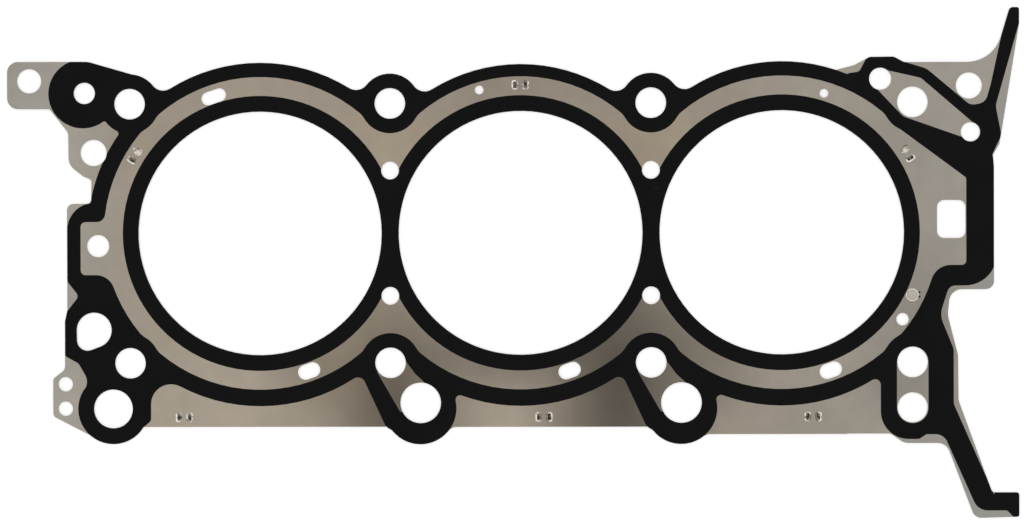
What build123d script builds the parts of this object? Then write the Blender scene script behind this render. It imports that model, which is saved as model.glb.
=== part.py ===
"""Multi-layer steel cylinder head gasket for one three-cylinder bank.

Frame: the origin is on the axis of the middle bore, in the plane of the lower steel face. +X runs along
the row of bores towards the timing end, +Y across it, and +Z up towards the head. Millimetres.
Two beaded spring-steel sheets lie on each side of a plain distance sheet, with a stopper ring round each
bore, and each outer face carries an elastomer print. The sheets are clinched together.
"""

from build123d import *
import os
from math import cos, hypot, radians, sin

# ---- bores and head bolts ----
bore_radius = 48.6
web_width = 6.8
bolt_row_spacing = 103.5
bolt_hole_radius = 6.1
bore_pitch = 2 * bore_radius + web_width
bores = [(-bore_pitch, 0.0), (0.0, 0.0), (bore_pitch, 0.0)]
bolt_x = [-1.5 * bore_pitch, -0.5 * bore_pitch, 0.5 * bore_pitch, 1.5 * bore_pitch]
bolt_y = bolt_row_spacing / 2

# ---- layers, from the bottom up ----
bead_sheet = 0.25
distance_sheet = 0.45
stopper_sheet = 0.10
print_thickness = 0.03
lower_top = bead_sheet
distance_top = lower_top + distance_sheet
upper_bottom = distance_top + stopper_sheet
upper_top = upper_bottom + bead_sheet

# ---- full bead round each bore, a trapezoid pressed outwards ----
bead_radius = bore_radius + 3.1
bead_width = 3.2
crest_width = 1.1
bead_height = 0.18
stopper_width = 1.4

# ---- clinch joints: pairs of tabs pressed part of the way through each sheet ----
clinch_depth = 0.22
clinch_tangential = 1.6
clinch_radial = 2.8
clinch_pair_spacing = 4.2
clinch_clearance = 0.02
clinch_slope = 40.0
meeting_tolerance = 0.0001
upper_clinch_radius = bore_radius + 10.4
upper_clinch_angles = [(0, 148.0), (1, 90.0), (2, 32.0)]
lower_clinch_offsets = [-30.5, 9.2, 12.4]
lower_clinch_drop = 21.65
button_offset = (51.9, -25.0)
button_radius = 2.2

# ---- rings round each bore, outwards from its edge ----
bore_print_width = 6.3
field_width = 7.5
rim_width = 6.6
land_trims = [0.9, 1.7, 0.9]
bore_print_radius = bore_radius + bore_print_width
field_radius = bore_print_radius + field_width
rim_print_radius = field_radius + rim_width
land_radii = [rim_print_radius - trim for trim in land_trims]

# ---- outline: the lower side hangs on the lower bolt row, the ends on the outer bolts ----
boss_radius = bolt_hole_radius + 5.8
valley_fillet = 5.2
strip_drops = [25.5, 25.6, 28.6]
return_offset = (12.0, -16.0)
return_radius = 8.1
return_ring_offset = (11.9, -18.15)
return_ring_radius = return_radius + 6.3
return_corner_fillet = 4.0
drain_centre = (bolt_x[0] - 6.9, -bolt_y - 18.25)
drain_radius = 7.75
drain_ring_radius = drain_radius + 6.35
drain_hole = (bolt_x[3], -bolt_y - 18.05, 6.0)
gallery_ring_offset = (-18.7, 55.9)
gallery_ring_radius = 13.8

# ---- print fillets ----
field_fillet = 8.0
pocket_top_fillet = 3.5
pocket_bottom_fillet = 7.5
neck_fillet = 8.0
foot_fillet = 2.2
web_fillet = 3.0
ring_fillet = 1.8
arm_fillet = 3.0

# ---- smaller holes: x, y, radius, from the outer bolts or from a bore ----
web_hole_y = 25.0
web_hole_radius = 3.55
left_holes = [
    (-40.2, 61.0, 4.85),
    (-18.1, 56.1, 4.25),
    (-14.5, 32.3, 5.25),
    (-12.8, -4.9, 4.45),
    (-26.0, -60.1, 2.9),
    (-26.0, -69.9, 2.9),
]
right_holes = [
    (-12.8, 61.0, 4.4),
    (22.4, 58.2, 5.2),
    (23.0, 39.8, 3.83),
    (-4.0, -34.7, 2.5),
]
vent_radius = 1.75
vents = [(1, bore_radius + 10.7, 106.0), (2, bore_radius + 9.2, 73.0)]
slot_distance = bore_radius + 9.7
slot_length = 9.1
slot_width = 6.0
slot_angle = -70.5
feed_slot = (108.6, 10.1, 5.3)
feed_slot_distance = bore_radius + 9.0
feed_passage = [(-14.5, -38.5, 7.0), (-17.2, -42.5, 4.2)]
chain_slot = (9.7, 21.1, -2.4, 12.7)
chain_slot_fillet = 2.8


def disc(x, y, r):
    return Pos(x, y) * Circle(r)


def rounded(corners, origin=(0.0, 0.0)):
    """A closed outline from corners (x, y, fillet radius), about an origin."""
    points = [(origin[0] + x, origin[1] + y) for x, y, _ in corners]
    return make_face(FilletPolyline(*points, radius=[r for _, _, r in corners], close=True))


def box_area(x0, x1, y0, y1):
    return Pos((x0 + x1) / 2, (y0 + y1) / 2) * Rectangle(x1 - x0, y1 - y0)


def union(shapes):
    total = shapes[0]
    for shape in shapes[1:]:
        total = total + shape
    return total


def lies_on(corner, curve):
    """Whether a corner lies on a circle (x, y, r) or on a line through two points (x0, y0, x1, y1)."""
    if len(curve) == 3:
        return abs(hypot(corner.X - curve[0], corner.Y - curve[1]) - curve[2]) < meeting_tolerance
    dx = curve[2] - curve[0]
    dy = curve[3] - curve[1]
    off = dx * (corner.Y - curve[1]) - dy * (corner.X - curve[0])
    return abs(off) < meeting_tolerance * hypot(dx, dy)


def soften(area, first, second, r):
    """Fillet the corners of an area where one circle or line runs into another."""
    places = [(c.X, c.Y, 0) for c in area.vertices() if lies_on(c, first) and lies_on(c, second)]
    for place in places:
        area = fillet(area.vertices().sort_by_distance(place)[0], r)
    return area


def edge_of(corners, number, origin=(0.0, 0.0)):
    """The line along one side of an outline, from its numbered corner to the next."""
    (x0, y0, _), (x1, y1, _) = corners[number], corners[number + 1]
    return (origin[0] + x0, origin[1] + y0, origin[0] + x1, origin[1] + y1)


def slot(x, y, length, width, angle):
    return Pos(x, y) * Rot(0, 0, angle) * SlotOverall(length, width)


# ---- shared places ----
left = (bolt_x[0], 0.0)
right = (bolt_x[3], 0.0)
lands = [(*bore, r) for bore, r in zip(bores, land_radii)]
upper_bosses = [(x, bolt_y, boss_radius) for x in bolt_x]
lower_bosses = [(x, -bolt_y, boss_radius) for x in bolt_x]
returns = [(x + return_offset[0], -bolt_y + return_offset[1], return_radius) for x in bolt_x[1:3]]
rings = []
for x in bolt_x[1:3]:
    rings.append((x + return_ring_offset[0], -bolt_y + return_ring_offset[1], return_ring_radius))
drain_ring = (*drain_centre, drain_ring_radius)


def around(number, distance, angle):
    """The point at a distance and an angle from the axis of a bore."""
    x, y = bores[number]
    return (x + distance * cos(radians(angle)), y + distance * sin(radians(angle)))


def port_holes():
    """Every through hole apart from the bores."""
    holes = [disc(x, s * bolt_y, bolt_hole_radius) for x in bolt_x for s in (1, -1)]
    holes += [disc(x, s * web_hole_y, web_hole_radius) for x in bolt_x[1:3] for s in (1, -1)]
    holes += [disc(left[0] + x, y, r) for x, y, r in left_holes]
    holes += [disc(right[0] + x, y, r) for x, y, r in right_holes]
    holes += [disc(*around(number, distance, angle), vent_radius) for number, distance, angle in vents]
    holes += [disc(*hole) for hole in returns]
    holes += [disc(*drain_hole), disc(*drain_centre, drain_radius)]
    for number in range(len(bores)):
        x, y = around(number, slot_distance, slot_angle)
        holes.append(slot(x, y, slot_length, slot_width, slot_angle + 90))
    angle, length, width = feed_slot
    holes.append(slot(*around(0, feed_slot_distance, angle), length, width, angle - 90))
    feed = [disc(left[0] + x, y, r) for x, y, r in feed_passage]
    holes.append(make_hull(feed[0].edges() + feed[1].edges()))
    x0, x1, y0, y1 = chain_slot
    window = box_area(right[0] + x0, right[0] + x1, y0, y1)
    holes.append(fillet(window.vertices(), chain_slot_fillet))
    return holes


# ---- steel outline ----
# left end: dowel tab, oil gallery corner, coolant ear, side rail and lower ear
left_end = [
    (11.0, 40.0, 0),
    (3.4, 62.9, 0),
    (-16.6, 68.7, 9),
    (-49.0, 68.7, 4.3),
    (-49.0, 49.9, 4.3),
    (-32.0, 49.8, 1.2),
    (-24.6, 40.3, 3),
    (-24.5, 27.5, 6),
    (-18.6, 22.9, 2),
    (-15.4, 21.6, 1.3),
    (-15.5, 12.0, 1.8),
    (-25.2, 12.0, 2.5),
    (-25.2, -30.5, 3),
    (-26.2, -35.0, 3),
    (-26.2, -54.2, 3),
    (-31.0, -57.9, 1.6),
    (-31.0, -72.9, 1.8),
    (-14.0, -81.7, 0),
    (-7.0, -70.0, 0),
    (11.0, -50.0, 0),
]
# right end: timing-case rail with a fin at the top and a foot at the bottom
right_end = [
    (-46.0, 40.0, 0),
    (-31.0, 64.4, 0),
    (-23.2, 66.4, 8),
    (-17.0, 69.7, 2.5),
    (-7.4, 69.8, 3),
    (-3.3, 67.6, 2),
    (32.1, 67.6, 14),
    (38.6, 89.3, 1.7),
    (42.3, 89.3, 0.9),
    (42.3, 82.8, 3),
    (34.5, 35.0, 2.5),
    (31.9, 30.6, 1.5),
    (32.3, 26.0, 3),
    (32.3, -22.8, 3.3),
    (15.0, -22.8, 5.0),
    (13.9, -33.0, 9),
    (18.0, -49.0, 6),
    (18.2, -67.0, 5),
    (31.6, -103.7, 1.6),
    (42.3, -103.7, 1),
    (42.3, -113.4, 0.8),
    (24.7, -113.9, 3.6),
    (13.4, -84.0, 5),
    (-3.4, -84.0, 5),
    (-8.8, -80.2, 3),
    (-26.0, -80.2, 0),
    (-36.0, -30.0, 0),
]
# band that carries the print from a lower bolt hole down to the oil return, about the bolt hole
return_arm = [
    (-12.5, -2.8, 0),
    (-1.9, -25.6, 5),
    (7.0, -30.5, 0),
    (11.9, -18.0, 0),
    (11.9, -2.0, 0),
    (0.0, 0.0, 0),
]


def sheet_outline():
    parts = [disc(*circle) for circle in lands + upper_bosses + lower_bosses + rings + [drain_ring]]
    parts += [rounded(left_end, left), rounded(right_end, right)]
    parts += [rounded(return_arm, (x, -bolt_y)) for x in bolt_x[1:3]]
    strip_ends = [drain_centre[0], rings[0][0], rings[1][0], right[0] + right_end[-2][0]]
    for number, drop in enumerate(strip_drops):
        parts.append(box_area(strip_ends[number], strip_ends[number + 1], -bolt_y - drop, -bolt_y))
    outline = union(parts)
    for boss in upper_bosses:
        for land in lands:
            outline = soften(outline, boss, land, valley_fillet)
    for number, ring in enumerate(rings):
        bottom = -bolt_y - strip_drops[number + 1]
        outline = soften(outline, ring, (ring[0], bottom, ring[0] + 1, bottom), return_corner_fillet)
    return outline


# ---- print outlines ----
left_print = [
    (6.0, 12.4, 0),
    (-25.2, 12.4, 11.0),
    (-25.2, -19.0, 2.5),
    (-20.6, -24.9, 2),
    (-25.2, -30.8, 2),
    (-27.5, -34.0, 0),
    (-27.5, -47.6, 0),
    (-25.0, -49.5, 0.8),
    (-20.8, -51.8, 3),
    (-16.7, -59.0, 5.5),
    (-20.6, -66.5, 0),
    (-7.0, -70.0, 0),
    (11.0, -45.0, 0),
]
drain_neck = [
    (-7.0, -76.0, 0),
    (4.4, -78.0, 0),
    (8.2, -74.8, 2),
    (8.2, -45.0, 0),
    (-7.0, -45.0, 0),
]
gallery_print = [
    (-18.7, 50.0, 0),
    (-18.7, 72.0, 0),
    (6.0, 66.0, 0),
    (6.0, 36.0, 0),
    (-3.0, 35.5, 0),
    (-5.0, 41.6, 3.2),
    (-10.4, 45.2, 2),
    (-15.5, 43.1, 0),
]
right_print = [
    (-46.0, 40.0, 0),
    (-31.5, 60.0, 0),
    (-25.5, 63.2, 4),
    (-21.1, 63.9, 2),
    (-17.6, 70.6, 0),
    (-6.4, 70.6, 0),
    (-3.8, 67.9, 1.5),
    (5.6, 65.0, 6),
    (23.0, 50.4, 4.2),
    (28.9, 51.4, 4.2),
    (31.0, 58.6, 8),
    (36.0, 81.5, 0),
    (36.0, 92.0, 0),
    (44.0, 92.0, 0),
    (43.0, 85.5, 0),
    (33.0, 50.2, 6),
    (35.3, 38.5, 4),
    (31.6, 30.6, 2),
    (33.5, 25.0, 0),
    (33.5, -8.0, 0),
    (32.5, -21.3, 12.5),
    (14.6, -21.3, 3.4),
    (10.8, -33.0, 9),
    (16.3, -46.5, 6),
    (16.3, -68.4, 4),
    (32.2, -104.4, 0),
    (33.0, -102.5, 0),
    (44.0, -102.5, 0),
    (44.0, -115.0, 0),
    (41.0, -114.6, 0),
    (37.5, -110.9, 1.2),
    (25.9, -110.9, 6),
    (12.3, -80.5, 5),
    (5.4, -80.5, 2),
    (2.6, -82.4, 2),
    (-12.7, -82.4, 11),
    (-12.7, -50.0, 0),
    (-36.0, -30.0, 0),
]
# bare windows inside the print
timing_window = [
    (-15.4, 58.3, 0),
    (-3.7, 46.0, 4.5),
    (22.2, 36.9, 0),
    (24.8, 42.8, 0),
    (3.3, 61.3, 3),
    (-12.4, 64.9, 0),
]
return_window = [
    (-2.0, 0.0, 0),
    (-5.4, -3.6, 0.8),
    (3.9, -19.7, 0.8),
    (8.0, -19.0, 0),
    (12.0, -14.0, 0),
    (14.4, -8.6, 0),
    (10.0, -4.6, 3),
    (5.2, 1.8, 0),
]
drain_window_margin = 0.15
left_pocket = [
    (11.0, 4.7, 0),
    (-19.8, 4.7, 2.0),
    (-19.8, -16.5, 2.0),
    (11.0, -16.5, 0),
]
right_pocket = [
    (-13.1, 47.0, 0),
    (21.3, 21.6, 1.8),
    (21.3, -13.1, 1.8),
    (-6.0, -13.1, 0),
    (-26.0, 0.0, 0),
]


def field_area():
    """The bare field round the bores that the coolant wets, inside the rim print."""
    wet = [(*bore, field_radius) for bore in bores]
    field = union([disc(*circle) for circle in wet])
    field = field + rounded(left_pocket, left) + rounded(right_pocket, right)
    field = soften(field, wet[0], edge_of(left_pocket, 0, left), pocket_top_fillet)
    field = soften(field, wet[0], edge_of(left_pocket, 2, left), pocket_bottom_fillet)
    field = soften(field, wet[2], edge_of(right_pocket, 2, right), field_fillet)
    for x in bolt_x[1:3]:
        web_reach = bolt_y - boss_radius / 2
        field = field + box_area(x - boss_radius / 2, x + boss_radius / 2, -web_reach, web_reach)
    for boss in upper_bosses + lower_bosses:
        field = field - disc(*boss)
        for circle in wet:
            field = soften(field, boss, circle, field_fillet)
    return soften(field, upper_bosses[3], edge_of(right_pocket, 0, right), field_fillet)


def print_round_bores():
    """The print round the three bores, which fills the webs up to their holes."""
    circles = [(*bore, bore_print_radius) for bore in bores]
    area = union([disc(*circle) for circle in circles])
    for first, second in zip(circles, circles[1:]):
        area = soften(area, first, second, web_fillet)
    return area


def rim_area():
    """The outer edge of the rim print, with the bare strips along the lower side cut away."""
    lower_side = box_area(2 * bolt_x[0], 2 * bolt_x[3], -bore_pitch, -bolt_y / 2)
    left_side = box_area(2 * bolt_x[0], bolt_x[0], -bore_pitch, bolt_y)
    wide = [(*bore, rim_print_radius) for bore in bores]
    parts = [disc(*circle) & lower_side for circle in wide]
    parts.append(disc(*wide[0]) & left_side)
    parts[0] = parts[0] + rounded(drain_neck, left)
    parts[0] = soften(parts[0], wide[0], edge_of(drain_neck, 2, left), neck_fillet)
    parts += [disc(*circle) for circle in lands + upper_bosses + lower_bosses + rings + [drain_ring]]
    parts += [rounded(corners, left) for corners in (left_print, gallery_print)]
    parts += [rounded(right_print, right)]
    parts.append(disc(left[0] + gallery_ring_offset[0], gallery_ring_offset[1], gallery_ring_radius))
    parts += [rounded(return_arm, (x, -bolt_y)) for x in bolt_x[1:3]]
    rim = union(parts)
    for boss in upper_bosses:
        for land in lands:
            rim = soften(rim, boss, land, valley_fillet)
    rim = soften(rim, wide[2], edge_of(right_print, -3, right), foot_fillet)
    for number, ring in enumerate(rings):
        rim = soften(rim, ring, wide[number + 1], ring_fillet)
        arm_edge = edge_of(return_arm, 0, (bolt_x[number + 1], -bolt_y))
        rim = soften(rim, wide[number], arm_edge, arm_fillet)
    return rim


# ---- the cut areas ----
bore_holes = [disc(*bore, bore_radius) for bore in bores]
ports = port_holes()
outline = sheet_outline()
field = field_area()
windows = [rounded(return_window, (x, -bolt_y)) for x in bolt_x[1:3]]
windows.append(rounded(timing_window, right))
window_width = 2 * (bolt_hole_radius + drain_window_margin)
window_length = window_width - bolt_y - drain_hole[1]
windows.append(slot(bolt_x[3], (drain_hole[1] - bolt_y) / 2, window_length, window_width, 90))
sheet_area = outline - bore_holes - ports
bore_print_area = print_round_bores() - bore_holes - ports
rim_print_area = (rim_area() & outline) - field - windows - ports


def bead(direction):
    """One full bead, a flat-topped ridge that stands on the plane z = 0 of its own bore."""
    profile = Polyline(
        (bead_radius - bead_width / 2, 0),
        (bead_radius + bead_width / 2, 0),
        (bead_radius + crest_width / 2, direction * bead_height),
        (bead_radius - crest_width / 2, direction * bead_height),
        close=True,
    )
    return revolve(Plane.XZ * make_face(profile), Axis.Z)


def beads(direction, z):
    """The three beads, which run together in the webs."""
    return union([Pos(x, y, z) * bead(direction) for x, y in bores])


def slab(area, bottom, top):
    return Pos(0, 0, bottom) * extrude(area, top - bottom)


def clinch_places():
    """Centre and turn of every pressed tab."""
    places = []
    for number, angle in upper_clinch_angles:
        middle = Pos(*bores[number]) * Rot(0, 0, angle - 90) * Pos(0, upper_clinch_radius)
        places += [middle * Pos(side * clinch_pair_spacing / 2, 0) for side in (1, -1)]
    for (x, y), offset in zip(bores, lower_clinch_offsets):
        middle = Pos(x + offset, -bolt_y - lower_clinch_drop)
        places += [middle * Pos(side * clinch_pair_spacing / 2, 0) for side in (1, -1)]
    return places


def pressed_tabs(gap):
    """The tabs and the round button, smaller by a gap all round."""
    tab = Rectangle(clinch_tangential - 2 * gap, clinch_radial - 2 * gap)
    button = disc(bores[2][0] + button_offset[0], button_offset[1], button_radius - gap)
    return [place * tab for place in clinch_places()] + [button]


def press_clinches(sheet, bottom, top):
    """Pocket the upper side of a sheet and stand the pressed metal out of its lower side."""
    for pocket in pressed_tabs(0.0):
        sheet = sheet - extrude(Pos(0, 0, top) * pocket, -clinch_depth, taper=clinch_slope)
    for tab in pressed_tabs(clinch_clearance):
        sheet = sheet + extrude(Pos(0, 0, bottom) * tab, -clinch_depth, taper=clinch_slope)
    return sheet


def bead_layer(bottom, direction):
    """A beaded sheet, with its beads pressed up (1) or down (-1)."""
    top = bottom + bead_sheet
    outer = top if direction > 0 else bottom
    inner = bottom if direction > 0 else top
    sheet = slab(sheet_area, bottom, top) + beads(direction, outer) - beads(direction, inner)
    return press_clinches(sheet, bottom, top)


def distance_layer():
    """The plain sheet that sets the clamped height."""
    return press_clinches(slab(sheet_area, lower_top, distance_top), lower_top, distance_top)


def bore_print(face, direction):
    """Print that follows the bead on the face of a bead layer."""
    outer = face + direction * print_thickness
    film = slab(bore_print_area, min(face, outer), max(face, outer))
    return film + beads(direction, outer) - beads(direction, face)


def rim_print(face, direction):
    outer = face + direction * print_thickness
    return slab(rim_print_area, min(face, outer), max(face, outer))


def stopper_ring(bore):
    ring = disc(*bore, bore_radius + stopper_width) - disc(*bore, bore_radius)
    return slab(ring, distance_top, upper_bottom)


nodes = {
    "lower_bead_layer": bead_layer(0.0, -1),
    "distance_layer": distance_layer(),
    "upper_bead_layer": bead_layer(upper_bottom, 1),
    "lower_bore_seal_print": bore_print(0.0, -1),
    "lower_rim_seal_print": rim_print(0.0, -1),
    "upper_bore_seal_print": bore_print(upper_top, 1),
    "upper_rim_seal_print": rim_print(upper_top, 1),
}
for number, bore in enumerate(bores):
    nodes[f"bore_{number + 1}_stopper_ring"] = stopper_ring(bore)

os.makedirs("parts", exist_ok=True)
for name, solid in nodes.items():
    export_step(solid, f"parts/{name}.step")
    print(name, len(solid.solids()), round(solid.volume, 2))
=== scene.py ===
"""Finish, floor, light and camera for a multi-layer steel cylinder head gasket that lies flat."""

from math import radians

import bmesh
import bpy
from mathutils import Matrix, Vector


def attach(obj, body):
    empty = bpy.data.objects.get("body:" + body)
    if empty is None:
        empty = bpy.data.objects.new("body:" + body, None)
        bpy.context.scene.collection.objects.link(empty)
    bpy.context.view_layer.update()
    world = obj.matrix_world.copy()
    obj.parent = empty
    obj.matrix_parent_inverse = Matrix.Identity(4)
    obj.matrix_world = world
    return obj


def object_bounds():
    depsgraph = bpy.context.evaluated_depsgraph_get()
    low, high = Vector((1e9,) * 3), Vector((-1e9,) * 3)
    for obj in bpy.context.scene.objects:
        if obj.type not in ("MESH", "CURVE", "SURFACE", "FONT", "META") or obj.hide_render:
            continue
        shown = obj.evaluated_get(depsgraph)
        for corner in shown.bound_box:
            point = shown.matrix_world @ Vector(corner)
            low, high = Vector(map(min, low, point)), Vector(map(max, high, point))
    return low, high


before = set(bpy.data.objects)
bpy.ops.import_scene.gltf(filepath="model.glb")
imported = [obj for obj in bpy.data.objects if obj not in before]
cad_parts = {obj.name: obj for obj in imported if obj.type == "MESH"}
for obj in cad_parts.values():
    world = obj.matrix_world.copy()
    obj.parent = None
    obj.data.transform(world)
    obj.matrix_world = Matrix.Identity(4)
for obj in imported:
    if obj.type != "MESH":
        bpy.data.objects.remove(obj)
cad_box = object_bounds()


# ---- bead layers ----
# Two sheets of full-hard stainless spring steel, stamped from cold rolled strip and pressed with a bead round
# each bore. The clinch joints and the button are drawn down out of them by small punches. A thin film of oil
# has cured on them in soft patches of straw, and other soft patches of painted shade and painted highlight
# stand for the reflections of the sheet's slight waviness.

# a millimetre in metres
MM = 0.001
# the mill's grain along the strip, drawn about ten times as coarse as the real one, so that it shows
GRAIN_LENGTH_MM = 8.0
GRAIN_WIDTH_MM = 0.45
GRAIN_RELIEF_MM = 0.01
BLOTCH_MM = 6.5
MOTTLE_MM = 55.0
# how each pattern shades the steel: between two levels of its noise, from one share of brightness to another
MOTTLE_SHADE = (0.30, 0.70, 0.930, 1.060)
GRAIN_SHADE = (0.25, 0.75, 0.965, 1.035)
BLOTCH_SHADE = (0.30, 0.70, 0.965, 1.035)
# how the grain changes the roughness: between two levels of its noise, from one roughness to another
GRAIN_ROUGHNESS = (0.25, 0.75, 0.30, 0.42)

WARM_STEEL = "#9f9587"
COOL_STEEL = "#9b978f"
STRAW_STEEL = "#a09482"
PALE_STEEL = "#959490"
# the pale colour of the painted highlight on the pockets' sloped flanks
FLANK_HIGHLIGHT_STEEL = "#e8e3da"
# along x, where the steel starts to cool towards each end, where it has cooled, and by how much
COOL_ENDS_MM = [(-145.0, -195.0, 1.0), (40.0, 175.0, 0.7)]
# where the film has cured to straw, and where the rim is wiped to a neutral grey: centre x, y and half widths
TINT_PATCHES_MM = [
    (-52.0, 41.0, 28.0, 36.0, STRAW_STEEL),
    (52.0, 41.0, 28.0, 36.0, STRAW_STEEL),
    (-62.0, -52.0, 42.0, 44.0, STRAW_STEEL),
    (197.0, 38.0, 14.0, 44.0, PALE_STEEL),
    (190.0, -24.0, 19.0, 19.0, PALE_STEEL),
    (182.0, -104.0, 32.0, 38.0, PALE_STEEL),
    (160.0, -89.0, 36.0, 13.0, PALE_STEEL),
]
# soft patches of painted shade, and a few of painted highlight, for the reflections of the sheet's slight
# waviness: centre x, y, half widths x, y, and how far they darken the steel, or lighten it
PAINTED_REFLECTION_PATCHES_MM = [
    (-51.0, -68.0, 40.0, 70.0, 0.60),
    (40.0, -62.0, 47.0, 115.0, 0.70),
    (-6.0, -48.0, 54.0, 22.0, 0.40),
    (5.0, 65.0, 130.0, 60.0, 0.18),
    (-130.0, -72.0, 52.0, 45.0, -0.16),
    (-4.0, -76.0, 28.0, 14.0, -0.12),
    (110.0, -80.0, 70.0, 35.0, 0.08),
    (76.0, -49.0, 34.0, 38.0, 0.34),
    (146.0, -60.0, 28.0, 22.0, 0.16),
    (160.0, -34.0, 36.0, 46.0, 0.24),
    (150.0, 38.0, 40.0, 26.0, 0.08),
    (-84.0, -54.0, 25.0, 25.0, 0.20),
    (-184.0, 22.0, 24.0, 50.0, -0.14),
    (-184.0, -74.0, 25.0, 36.0, -0.12),
]

# the drawn flanks of the pockets lean this much, as the upright part of their normal, give or take the range
FLANK_LEAN = 0.64
FLANK_LEAN_RANGE = 0.2
# the pocket floors lie at this height, give or take the slack, and are darkened by painted shade in spots of
# this size
POCKET_FLOOR_MM = 0.83
POCKET_FLOOR_SLACK_MM = 0.02
FLOOR_SHADE_SPOT_MM = 1.2
FLOOR_SHADE_LEVELS = (0.45, 0.65, 0.10, 0.75)
BUTTON_MM = (155.9, -25.0)
# floors left out of the painted shade: centre x, y and radius
UNSHADED_FLOORS_MM = [(*BUTTON_MM, 4.0), (-152.9, 33.0, 1.9), (152.9, 33.0, 1.9)]
# and the painted highlights on them, with a duller middle on the button, written as the painted reflection
# patches are
PAINTED_HIGHLIGHT_FLOORS_MM = [
    (*BUTTON_MM, 3.2, 3.2, -1.25),
    (*BUTTON_MM, 1.8, 2.0, 0.30),
    (-152.8, 32.4, 1.5, 1.5, -1.70),
    (153.1, 32.5, 1.5, 1.5, -1.50),
]
# two small punch pits beside the button, drawn only as painted shade, darkest out to their middle's radius and
# gone at their rim's
PIT_PLACES_MM = [(158.7, -24.0, 1.05), (158.7, -25.7, 1.05)]
PIT_MIDDLE_MM = 0.25
PIT_RIM_MM = 0.65
PIT_SHADE = 0.08


def linear(code):
    """An sRGB hex colour as linear RGBA."""
    channels = [int(code[i : i + 2], 16) / 255 for i in (1, 3, 5)]
    return [c / 12.92 if c <= 0.04045 else ((c + 0.055) / 1.055) ** 2.4 for c in channels] + [1.0]


def new_material(name):
    """An empty node material."""
    material = bpy.data.materials.new(name)
    material.use_nodes = True
    material.node_tree.nodes.clear()
    return material


def add_node(material, kind, settings, links):
    """A node with its settings; links gives each input, by name or number, a socket or a value."""
    tree = material.node_tree
    node = tree.nodes.new(kind)
    for name, value in settings.items():
        setattr(node, name, value)
    for name, value in links.items():
        if isinstance(value, bpy.types.NodeSocket):
            tree.links.new(value, node.inputs[name])
        else:
            node.inputs[name].default_value = value
    return node


def finish_nodes(material, names):
    """Gives CAD nodes a material through their slots."""
    for name in names:
        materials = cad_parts[name].data.materials
        materials.clear()
        materials.append(material)


# Satin steel: it mirrors a broad soft light, and only a faint grain shows along the strip.
steel = new_material("rolled_spring_steel")
on_sheet = add_node(steel, "ShaderNodeTexCoord", {}, {}).outputs["Object"]
sheet_place = add_node(steel, "ShaderNodeSeparateXYZ", {}, {"Vector": on_sheet})


def soft_patch(x, y, half_x, half_y, middle, rim):
    """A soft oval on the sheet that goes from one value at its middle to another at its rim."""
    centre = (x * MM, y * MM, 0.0)
    scale = (1 / (half_x * MM), 1 / (half_y * MM), 0.0)
    shifted = add_node(steel, "ShaderNodeVectorMath", {"operation": "SUBTRACT"}, {0: on_sheet, 1: centre})
    squeezed = add_node(
        steel, "ShaderNodeVectorMath", {"operation": "MULTIPLY"}, {0: shifted.outputs[0], 1: scale}
    )
    away = add_node(steel, "ShaderNodeVectorMath", {"operation": "LENGTH"}, {0: squeezed.outputs[0]})
    patch = add_node(
        steel,
        "ShaderNodeMapRange",
        {"interpolation_type": "SMOOTHSTEP"},
        {"Value": away.outputs["Value"], "To Min": middle, "To Max": rim},
    )
    return patch.outputs[0]


tint = linear(WARM_STEEL)
for start, end, share in COOL_ENDS_MM:
    cooled = add_node(
        steel,
        "ShaderNodeMapRange",
        {"interpolation_type": "SMOOTHSTEP"},
        {"Value": sheet_place.outputs["X"], "From Min": start * MM, "From Max": end * MM, "To Max": share},
    )
    tint = add_node(
        steel,
        "ShaderNodeMix",
        {"data_type": "RGBA"},
        {"Factor": cooled.outputs[0], "A": tint, "B": linear(COOL_STEEL)},
    ).outputs["Result"]
for x, y, half_x, half_y, patch_colour in TINT_PATCHES_MM:
    tint = add_node(
        steel,
        "ShaderNodeMix",
        {"data_type": "RGBA"},
        {"Factor": soft_patch(x, y, half_x, half_y, 1.0, 0.0), "A": tint, "B": linear(patch_colour)},
    ).outputs["Result"]

grain_stretch = (1 / (GRAIN_LENGTH_MM * MM), 1 / (GRAIN_WIDTH_MM * MM), 1 / (GRAIN_LENGTH_MM * MM))
along = add_node(steel, "ShaderNodeMapping", {}, {"Vector": on_sheet, "Scale": grain_stretch}).outputs[0]
grain = add_node(
    steel, "ShaderNodeTexNoise", {}, {"Vector": along, "Scale": 1.0, "Detail": 3.0, "Roughness": 0.6}
).outputs[0]
mottle = add_node(
    steel, "ShaderNodeTexNoise", {}, {"Vector": on_sheet, "Scale": 1 / (MOTTLE_MM * MM), "Detail": 2.0}
).outputs[0]
blotch = add_node(
    steel, "ShaderNodeTexNoise", {}, {"Vector": on_sheet, "Scale": 1 / (BLOTCH_MM * MM), "Detail": 3.0}
).outputs[0]
shade = 1.0
for noise, (low, high, dark, light) in [(mottle, MOTTLE_SHADE), (grain, GRAIN_SHADE), (blotch, BLOTCH_SHADE)]:
    level = add_node(
        steel,
        "ShaderNodeMapRange",
        {},
        {"Value": noise, "From Min": low, "From Max": high, "To Min": dark, "To Max": light},
    ).outputs[0]
    shade = add_node(steel, "ShaderNodeMath", {"operation": "MULTIPLY"}, {0: shade, 1: level}).outputs[0]
# painted shade and painted highlight: soft patches darken or lighten the steel in place of reflections, and
# brighten some pocket floors
for x, y, half_x, half_y, depth in PAINTED_REFLECTION_PATCHES_MM + PAINTED_HIGHLIGHT_FLOORS_MM:
    patch = soft_patch(x, y, half_x, half_y, 1.0 - depth, 1.0)
    shade = add_node(steel, "ShaderNodeMath", {"operation": "MULTIPLY"}, {0: shade, 1: patch}).outputs[0]
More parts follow.
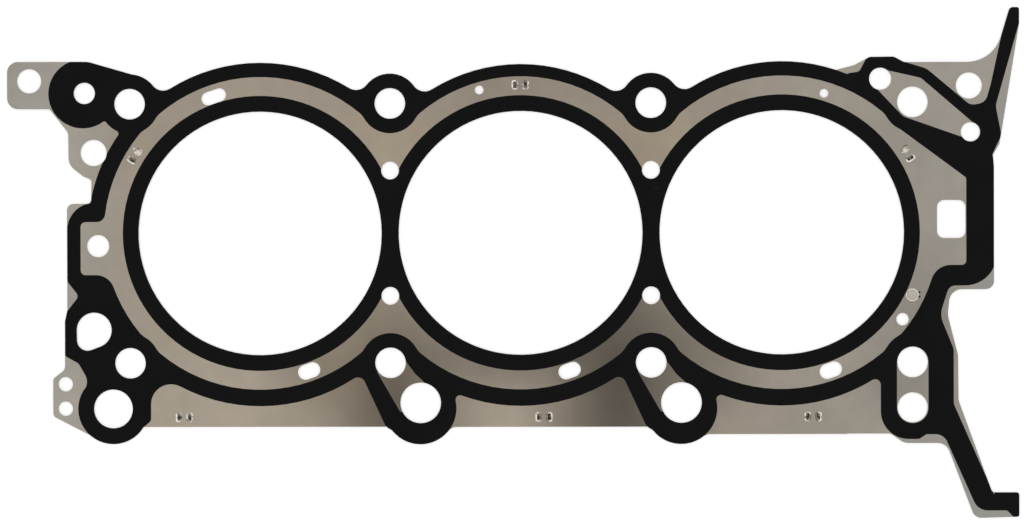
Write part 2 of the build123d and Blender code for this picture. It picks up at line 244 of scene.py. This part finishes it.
# painted shade: a dark spot for each punch pit, which has no geometry of its own
for place in PIT_PLACES_MM:
    centre = [value * MM for value in place]
    away = add_node(steel, "ShaderNodeVectorMath", {"operation": "DISTANCE"}, {0: on_sheet, 1: centre})
    pit = add_node(
        steel,
        "ShaderNodeMapRange",
        {"interpolation_type": "SMOOTHSTEP"},
        {
            "Value": away.outputs["Value"],
            "From Min": PIT_MIDDLE_MM * MM,
            "From Max": PIT_RIM_MM * MM,
            "To Min": PIT_SHADE,
            "To Max": 1.0,
        },
    ).outputs[0]
    shade = add_node(steel, "ShaderNodeMath", {"operation": "MULTIPLY"}, {0: shade, 1: pit}).outputs[0]

# painted shade: the pocket floors are darkened in spots, all but the floors left out of it
sunk = add_node(
    steel,
    "ShaderNodeMath",
    {"operation": "COMPARE"},
    {0: sheet_place.outputs["Z"], 1: POCKET_FLOOR_MM * MM, 2: POCKET_FLOOR_SLACK_MM * MM},
).outputs[0]
for x, y, radius in UNSHADED_FLOORS_MM:
    centre = (x * MM, y * MM, POCKET_FLOOR_MM * MM)
    away = add_node(steel, "ShaderNodeVectorMath", {"operation": "DISTANCE"}, {0: on_sheet, 1: centre})
    beyond = add_node(
        steel, "ShaderNodeMath", {"operation": "GREATER_THAN"}, {0: away.outputs["Value"], 1: radius * MM}
    ).outputs[0]
    sunk = add_node(steel, "ShaderNodeMath", {"operation": "MULTIPLY"}, {0: sunk, 1: beyond}).outputs[0]
floor_shade_noise = add_node(
    steel, "ShaderNodeTexNoise", {}, {"Vector": on_sheet, "Scale": 1 / (FLOOR_SHADE_SPOT_MM * MM), "Detail": 1.0}
).outputs[0]
low, high, dark, light = FLOOR_SHADE_LEVELS
floor_shade = add_node(
    steel,
    "ShaderNodeMapRange",
    {},
    {"Value": floor_shade_noise, "From Min": low, "From Max": high, "To Min": dark, "To Max": light},
).outputs[0]
floor_darkening = add_node(steel, "ShaderNodeMix", {}, {"Factor": sunk, "A": 1.0, "B": floor_shade}).outputs[0]

shaded = add_node(steel, "ShaderNodeVectorMath", {"operation": "SCALE"}, {0: tint, "Scale": shade}).outputs[0]
floor_shaded = add_node(steel, "ShaderNodeVectorMath", {"operation": "SCALE"}, {0: shaded, "Scale": floor_darkening}).outputs[0]
# painted highlight: the sloped flanks of the pockets, picked out by how they lean, take a pale colour as if lit
facing = add_node(steel, "ShaderNodeNewGeometry", {}, {}).outputs["True Normal"]
tilt = add_node(steel, "ShaderNodeSeparateXYZ", {}, {"Vector": facing}).outputs["Z"]
lean = add_node(steel, "ShaderNodeMath", {"operation": "ABSOLUTE"}, {0: tilt}).outputs[0]
highlighted_flank = add_node(
    steel, "ShaderNodeMath", {"operation": "COMPARE"}, {0: lean, 1: FLANK_LEAN, 2: FLANK_LEAN_RANGE}
).outputs[0]
colour = add_node(
    steel, "ShaderNodeMix", {"data_type": "RGBA"}, {"Factor": highlighted_flank, "A": floor_shaded, "B": linear(FLANK_HIGHLIGHT_STEEL)}
).outputs["Result"]
low, high, smooth, coarse = GRAIN_ROUGHNESS
rough = add_node(
    steel,
    "ShaderNodeMapRange",
    {},
    {"Value": grain, "From Min": low, "From Max": high, "To Min": smooth, "To Max": coarse},
).outputs[0]
relief = add_node(
    steel, "ShaderNodeBump", {}, {"Height": grain, "Strength": 0.15, "Distance": GRAIN_RELIEF_MM * MM}
).outputs[0]
surface = add_node(
    steel,
    "ShaderNodeBsdfPrincipled",
    {},
    {"Base Color": colour, "Metallic": 1.0, "Roughness": rough, "Normal": relief},
).outputs[0]
add_node(steel, "ShaderNodeOutputMaterial", {}, {"Surface": surface})
finish_nodes(steel, ["lower_bead_layer", "upper_bead_layer"])


# ---- distance layer and stopper rings ----
# A plain sheet and three thin rings of bright annealed stainless steel, sheared to shape and laid between the
# bead layers. Only their edges show, in the bores and round the outline.

# the marks of the shear run up the edge, and are drawn coarser than the real ones, so that they show
SHEAR_WIDTH_MM = 0.3
SHEAR_HEIGHT_MM = 5.0
SHEAR_ROUGHNESS = (0.25, 0.75, 0.28, 0.50)
EDGE_STEEL = "#b3b1ab"

# Freshly cut steel: a thin, bright and slightly streaked line.
edge = new_material("sheared_stainless_edge")
on_edge = add_node(edge, "ShaderNodeTexCoord", {}, {}).outputs["Object"]
shear_stretch = (1 / (SHEAR_WIDTH_MM * MM), 1 / (SHEAR_WIDTH_MM * MM), 1 / (SHEAR_HEIGHT_MM * MM))
up = add_node(edge, "ShaderNodeMapping", {}, {"Vector": on_edge, "Scale": shear_stretch}).outputs[0]
shear = add_node(edge, "ShaderNodeTexNoise", {}, {"Vector": up, "Scale": 1.0, "Detail": 2.0}).outputs[0]
low, high, smooth, coarse = SHEAR_ROUGHNESS
rough = add_node(
    edge,
    "ShaderNodeMapRange",
    {},
    {"Value": shear, "From Min": low, "From Max": high, "To Min": smooth, "To Max": coarse},
).outputs[0]
surface = add_node(
    edge,
    "ShaderNodeBsdfPrincipled",
    {},
    {"Base Color": linear(EDGE_STEEL), "Metallic": 1.0, "Roughness": rough},
).outputs[0]
add_node(edge, "ShaderNodeOutputMaterial", {}, {"Surface": surface})
finish_nodes(edge, ["distance_layer", "bore_1_stopper_ring", "bore_2_stopper_ring", "bore_3_stopper_ring"])


# ---- seal prints ----
# Fluoroelastomer ink, screen printed on both outer faces of the stack and cured in an oven. It seals round the
# bores and along the rim.

# the dimple of the screen's mesh, drawn coarser than the real one, so that it shows
SCREEN_MM = 0.7
DIMPLE_MM = 0.02
SWELL_MM = 14.0
SWELL_ROUGHNESS = (0.30, 0.70, 0.42, 0.56)
# fine dust: one speck may lie in each cell of this size, it is this wide, and this share of cells holds one
SPECK_CELL_MM = 5.0
SPECK_MM = 0.3
SPECK_SHARE = 0.2
INK_BLACK = "#0b0b0c"
SPECK_GREY = "#5b5a58"

# Cured elastomer: a deep black that mirrors next to nothing, with soft broad swells where the ink has levelled.
ink = new_material("screen_printed_elastomer")
on_print = add_node(ink, "ShaderNodeTexCoord", {}, {}).outputs["Object"]
dimple = add_node(
    ink, "ShaderNodeTexNoise", {}, {"Vector": on_print, "Scale": 1 / (SCREEN_MM * MM), "Detail": 2.0}
).outputs[0]
swell = add_node(
    ink, "ShaderNodeTexNoise", {}, {"Vector": on_print, "Scale": 1 / (SWELL_MM * MM), "Detail": 1.0}
).outputs[0]
low, high, smooth, coarse = SWELL_ROUGHNESS
rough = add_node(
    ink,
    "ShaderNodeMapRange",
    {},
    {"Value": swell, "From Min": low, "From Max": high, "To Min": smooth, "To Max": coarse},
).outputs[0]
relief = add_node(
    ink, "ShaderNodeBump", {}, {"Height": dimple, "Strength": 0.2, "Distance": DIMPLE_MM * MM}
).outputs[0]
cell = add_node(ink, "ShaderNodeTexVoronoi", {}, {"Vector": on_print, "Scale": 1 / (SPECK_CELL_MM * MM)})
near = add_node(
    ink,
    "ShaderNodeMath",
    {"operation": "LESS_THAN"},
    {0: cell.outputs["Distance"], 1: SPECK_MM / SPECK_CELL_MM / 2},
).outputs[0]
chance = add_node(ink, "ShaderNodeSeparateColor", {}, {"Color": cell.outputs["Color"]}).outputs[0]
picked = add_node(
    ink, "ShaderNodeMath", {"operation": "GREATER_THAN"}, {0: chance, 1: 1.0 - SPECK_SHARE}
).outputs[0]
speck = add_node(ink, "ShaderNodeMath", {"operation": "MULTIPLY"}, {0: near, 1: picked}).outputs[0]
colour = add_node(
    ink,
    "ShaderNodeMix",
    {"data_type": "RGBA"},
    {"Factor": speck, "A": linear(INK_BLACK), "B": linear(SPECK_GREY)},
).outputs["Result"]
surface = add_node(
    ink,
    "ShaderNodeBsdfPrincipled",
    {},
    {"Base Color": colour, "Roughness": rough, "IOR": 1.4, "Specular IOR Level": 0.1, "Normal": relief},
).outputs[0]
add_node(ink, "ShaderNodeOutputMaterial", {}, {"Surface": surface})
finish_nodes(
    ink, ["lower_bore_seal_print", "lower_rim_seal_print", "upper_bore_seal_print", "upper_rim_seal_print"]
)


# ---- clinch lips ----
# Six clinch joints hold the stack together, each a pair of tabs that a small punch draws down through it, and
# the button is a round one. The punch leaves a low lip of steel round the mouth of each pocket. A painted
# highlight lies on one side of each pocket's lip and painted shade on the other, and the button's lip is
# painted bright all round.

LIP_WIDTH_MM = 0.5
LIP_HEIGHT_MM = 0.025
LIP_PLANE_MM = 1.05
POCKET_SIZE_MM = (1.6, 2.8)
POCKET_CORNER_MM = 0.45
POCKET_CORNER_SEGMENTS = 4
PAIR_SPACING_MM = 4.2
# one joint lies beside each bore, this far from its centre and at this angle, and three lie in a lower row
BORE_PITCH_MM = 104.0
CLINCH_RADIUS_MM = 59.0
CLINCH_ANGLES_DEG = [148.0, 90.0, 32.0]
CLINCH_ROW_Y_MM = -73.4
CLINCH_ROW_X_MM = [-134.5, 9.2, 116.4]
# how far the painted highlight leans to the left (-1) or the right (1) on each pocket of a pair, with painted
# shade on the other side
LIP_SHEEN_SIDES = [(-0.8, -0.5), (-0.5, 0.5), (0.4, 0.8), (-0.8, 0.2), (-1.0, 1.0), (-0.3, 1.0)]
BUTTON_RADIUS_MM = 2.2
BUTTON_LIP_MM = 0.25
BUTTON_SEGMENTS = 48
# fine scuffs break the painted highlight up: between two levels of their noise, they change it by this much
SCUFF_MM = 1.3
SCUFF_CHANGE = (0.36, 0.58, -0.4, 0.4)
# the level of painted highlight at which a lip starts to turn bright
LIP_SHEEN_START = 0.25
LIP_HIGHLIGHT_STEEL = "#ece8df"
LIP_SHADE_STEEL = "#6f675b"


def raise_lip(mesh, face, width):
    """Turns a flat face into a low ring: up to the crest, down to the mouth, and open inside."""
    for rise in (LIP_HEIGHT_MM * MM, -LIP_HEIGHT_MM * MM):
        bmesh.ops.inset_region(
            mesh, faces=[face], thickness=width * MM / 2, depth=rise, use_boundary=True, use_even_offset=True
        )
    bmesh.ops.delete(mesh, geom=[face], context="FACES")


def pocket_lip(mesh, lip_sheen, place, side):
    """A lip round one oblong pocket, with the layer of painted highlight at 1 on its lit side and 0 on its
    shaded side.
    """
    half_sides = [(size + 2 * LIP_WIDTH_MM) * MM / 2 for size in POCKET_SIZE_MM]
    blank = bmesh.ops.create_grid(mesh, x_segments=1, y_segments=1, size=1.0)
    bmesh.ops.scale(mesh, verts=blank["verts"], vec=(*half_sides, 1.0))
    rounded = bmesh.ops.bevel(
        mesh,
        geom=blank["verts"],
        offset=(POCKET_CORNER_MM + LIP_WIDTH_MM) * MM,
        segments=POCKET_CORNER_SEGMENTS,
        profile=0.5,
        affect="VERTICES",
        material=-1,
    )
    face = rounded["verts"][0].link_faces[0]
    for vert in face.verts:
        vert[lip_sheen] = 0.5 + 0.5 * side * vert.co.x / half_sides[0]
    bmesh.ops.transform(mesh, matrix=place, verts=face.verts)
    raise_lip(mesh, face, LIP_WIDTH_MM)


lips = bmesh.new()
lip_sheen = lips.verts.layers.float.new("lip_sheen")
clinches = []
for number, angle in enumerate(CLINCH_ANGLES_DEG):
    bore = Matrix.Translation(((number - 1) * BORE_PITCH_MM * MM, 0.0, LIP_PLANE_MM * MM))
    reach_out = Matrix.Translation((0.0, CLINCH_RADIUS_MM * MM, 0.0))
    clinches.append(bore @ Matrix.Rotation(radians(angle - 90.0), 4, "Z") @ reach_out)
for x in CLINCH_ROW_X_MM:
    clinches.append(Matrix.Translation((x * MM, CLINCH_ROW_Y_MM * MM, LIP_PLANE_MM * MM)))
for clinch, sheen_sides in zip(clinches, LIP_SHEEN_SIDES):
    for step, side in zip((-0.5, 0.5), sheen_sides):
        pocket_lip(lips, lip_sheen, clinch @ Matrix.Translation((step * PAIR_SPACING_MM * MM, 0.0, 0.0)), side)
button = bmesh.ops.create_circle(
    lips,
    cap_ends=True,
    segments=BUTTON_SEGMENTS,
    radius=(BUTTON_RADIUS_MM + BUTTON_LIP_MM) * MM,
    matrix=Matrix.Translation((BUTTON_MM[0] * MM, BUTTON_MM[1] * MM, LIP_PLANE_MM * MM)),
)
for vert in button["verts"]:
    vert[lip_sheen] = 1.0
raise_lip(lips, button["verts"][0].link_faces[0], BUTTON_LIP_MM)
lip_mesh = bpy.data.meshes.new("clinch_lips")
lips.to_mesh(lip_mesh)
lips.free()
clinch_lips = bpy.data.objects.new("clinch_lips", lip_mesh)
bpy.context.scene.collection.objects.link(clinch_lips)
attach(clinch_lips, "root")

# Spring steel of the lips: a painted highlight flashes white on the lit side of each lip, and painted shade
# keeps the other side dark and scuffed.
lip_steel = new_material("spring_steel_painted_sheen")
on_lip = add_node(lip_steel, "ShaderNodeTexCoord", {}, {}).outputs["Object"]
scuff = add_node(
    lip_steel, "ShaderNodeTexNoise", {}, {"Vector": on_lip, "Scale": 1 / (SCUFF_MM * MM), "Detail": 2.0}
).outputs[0]
lit_side = add_node(lip_steel, "ShaderNodeAttribute", {"attribute_name": "lip_sheen"}, {}).outputs["Fac"]
low, high, less, more = SCUFF_CHANGE
change = add_node(
    lip_steel,
    "ShaderNodeMapRange",
    {},
    {"Value": scuff, "From Min": low, "From Max": high, "To Min": less, "To Max": more},
).outputs[0]
broken_sheen = add_node(lip_steel, "ShaderNodeMath", {"operation": "ADD"}, {0: change, 1: lit_side}).outputs[0]
lip_highlight = add_node(
    lip_steel, "ShaderNodeMapRange", {}, {"Value": broken_sheen, "From Min": LIP_SHEEN_START, "From Max": 1.0}
).outputs[0]
colour = add_node(
    lip_steel,
    "ShaderNodeMix",
    {"data_type": "RGBA"},
    {"Factor": lip_highlight, "A": linear(LIP_SHADE_STEEL), "B": linear(LIP_HIGHLIGHT_STEEL)},
).outputs["Result"]
surface = add_node(
    lip_steel, "ShaderNodeBsdfPrincipled", {}, {"Base Color": colour, "Metallic": 1.0, "Roughness": 0.25}
).outputs[0]
add_node(lip_steel, "ShaderNodeOutputMaterial", {}, {"Surface": surface})
lip_mesh.materials.append(lip_steel)


# ---- floor, light and camera ----
# A large matt white table under an even sky and one broad soft box, with the camera almost straight above. The
# table glows a little to the camera and in the metal, so that it looks white without more light on the steel.

FLOOR_HALF_SIDE_M = 3.0
# a hair of air keeps the lowest faces from showing through the floor
FLOOR_GAP_MM = 0.02
TABLE_WHITE = "#efefef"
LIGHT_WHITE = "#ffffff"
TABLE_GLOW = 0.4
SKY_STRENGTH = 0.75
SOFT_BOX_SIDE_M = 3.0
SOFT_BOX_HEIGHT_M = 2.4
SOFT_BOX_WATTS = 8.0
CAMERA_PLACE_MM = (25.9, 8.4, 1500.9)
CAMERA_TURN_DEG = (-0.751, 1.118, -0.137)
LENS_MM = 132.3
SENSOR_MM = 36.0

table_top = bmesh.new()
bmesh.ops.create_grid(table_top, x_segments=1, y_segments=1, size=FLOOR_HALF_SIDE_M)
bmesh.ops.translate(table_top, verts=table_top.verts, vec=(0.0, 0.0, cad_box[0][2] - FLOOR_GAP_MM * MM))
floor_mesh = bpy.data.meshes.new("floor")
table_top.to_mesh(floor_mesh)
table_top.free()
floor = bpy.data.objects.new("floor", floor_mesh)
bpy.context.scene.collection.objects.link(floor)

table = new_material("white_table")
rays = add_node(table, "ShaderNodeLightPath", {}, {})
seen = rays.outputs["Is Camera Ray"]
for kind in ("Is Glossy Ray", "Is Transmission Ray"):
    seen = add_node(
        table, "ShaderNodeMath", {"operation": "MAXIMUM"}, {0: seen, 1: rays.outputs[kind]}
    ).outputs[0]
matt = add_node(table, "ShaderNodeBsdfDiffuse", {}, {"Color": linear(TABLE_WHITE)}).outputs[0]
glow = add_node(
    table, "ShaderNodeEmission", {}, {"Color": linear(LIGHT_WHITE), "Strength": TABLE_GLOW}
).outputs[0]
lifted = add_node(table, "ShaderNodeAddShader", {}, {0: matt, 1: glow}).outputs[0]
choice = add_node(table, "ShaderNodeMixShader", {}, {0: seen, 1: matt, 2: lifted}).outputs[0]
add_node(table, "ShaderNodeOutputMaterial", {}, {"Surface": choice})
floor_mesh.materials.append(table)

sky = bpy.data.worlds.new("even_sky")
bpy.context.scene.world = sky
sky.use_nodes = True
sky.node_tree.nodes["Background"].inputs["Color"].default_value = linear(LIGHT_WHITE)
sky.node_tree.nodes["Background"].inputs["Strength"].default_value = SKY_STRENGTH

soft_box = bpy.data.lights.new("soft_box", "AREA")
soft_box.size = SOFT_BOX_SIDE_M
soft_box.energy = SOFT_BOX_WATTS
lamp = bpy.data.objects.new("soft_box", soft_box)
lamp.location = (0.0, 0.0, SOFT_BOX_HEIGHT_M)
bpy.context.scene.collection.objects.link(lamp)

camera_data = bpy.data.cameras.new("camera")
camera_data.sensor_width = SENSOR_MM
camera_data.lens = LENS_MM
camera = bpy.data.objects.new("camera", camera_data)
camera.location = [value * MM for value in CAMERA_PLACE_MM]
camera.rotation_euler = [radians(value) for value in CAMERA_TURN_DEG]
bpy.context.scene.collection.objects.link(camera)
bpy.context.scene.camera = camera
bpy.context.scene.view_settings.view_transform = "Standard"
